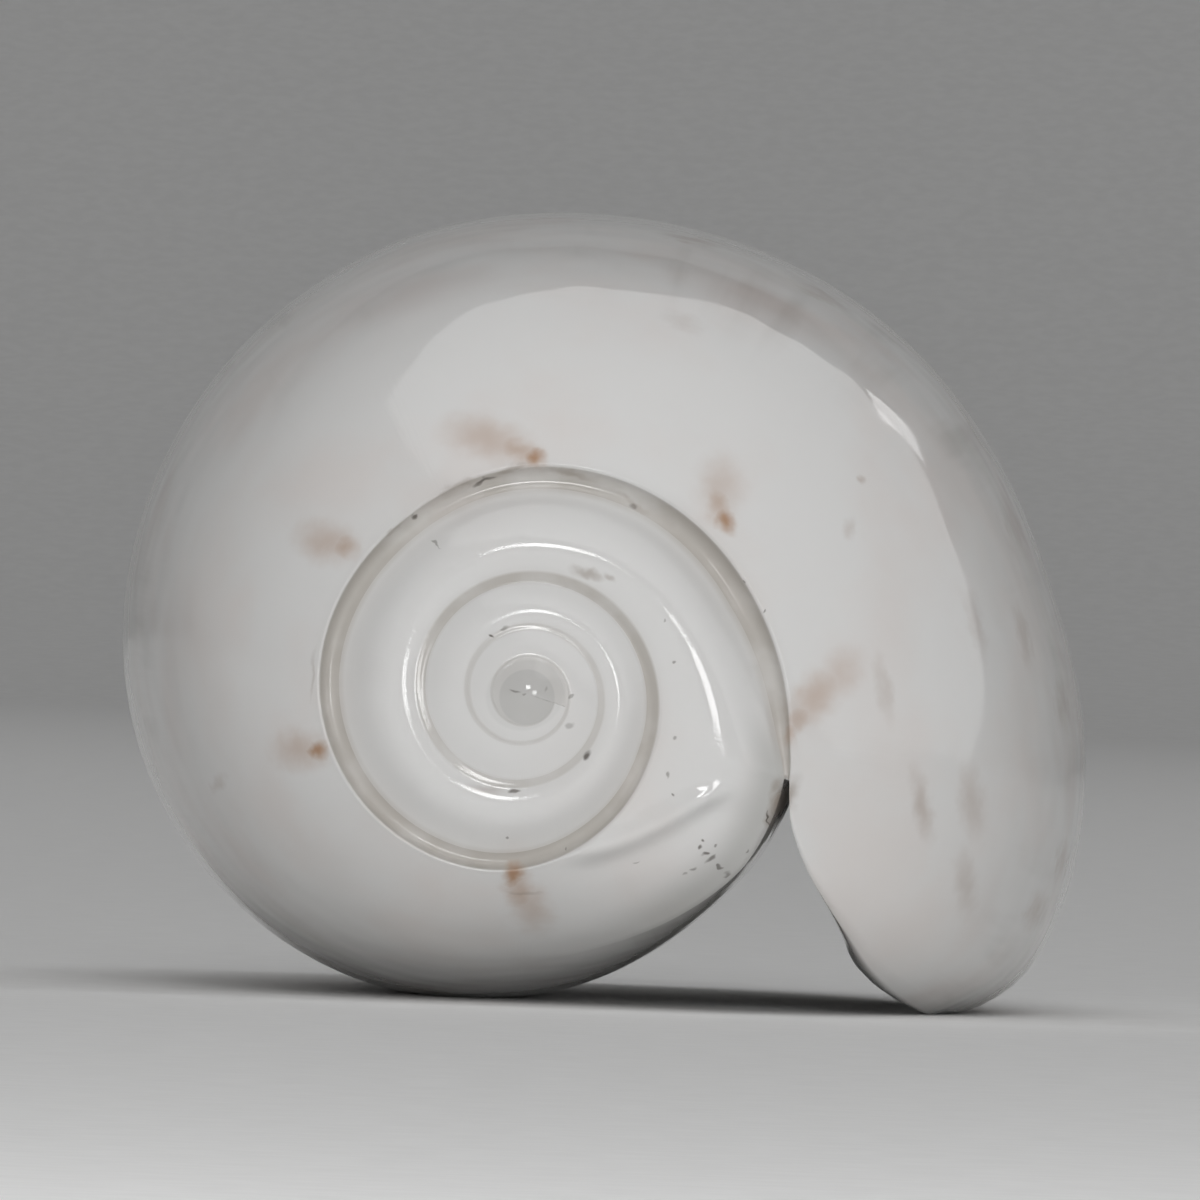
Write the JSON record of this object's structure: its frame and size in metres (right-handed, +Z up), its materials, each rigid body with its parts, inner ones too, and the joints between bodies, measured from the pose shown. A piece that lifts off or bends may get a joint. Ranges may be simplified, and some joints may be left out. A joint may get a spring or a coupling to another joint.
{
  "type": "olive shell",
  "caption": "Glossy, tapering olive sea shell with a low channelled spire, lying on its long narrow opening.",
  "frame": {"origin": "centre of the bounding box's base, on the plane that the shell lies on", "axes": "+Z up; +Y along the coiling axis, from the apex of the spire to the front end; +X to the side of the lip"},
  "size_m": [0.0202, 0.041, 0.0164],
  "materials": {
    "shell": "gloss"
  },
  "bodies": {
    "root": {"olive_shell": "shell"}
  },
  "joints": []
}
